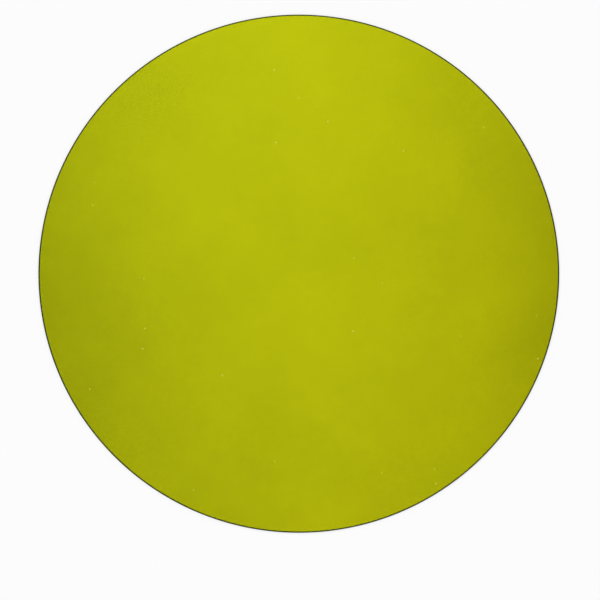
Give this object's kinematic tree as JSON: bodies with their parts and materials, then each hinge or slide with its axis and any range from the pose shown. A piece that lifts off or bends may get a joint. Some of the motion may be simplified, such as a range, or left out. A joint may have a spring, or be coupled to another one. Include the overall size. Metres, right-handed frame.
{
  "type": "silicon carbide wafer",
  "caption": "Thin round see-through yellow-green silicon carbide wafer with polished faces and a ground, rounded rim, used as the substrate for power and radio-frequency devices.",
  "frame": {"origin": "centre of the back face, which the wafer rests on", "axes": "+Z through the thickness, out of the front face; the wafer is round, so +X and +Y are any two directions across it"},
  "size_m": [0.2, 0.2, 0.0005],
  "materials": {
    "silicon_carbide": "polished, transparent yellow-green crystal"
  },
  "bodies": {
    "root": {"wafer": "silicon_carbide"}
  },
  "joints": []
}
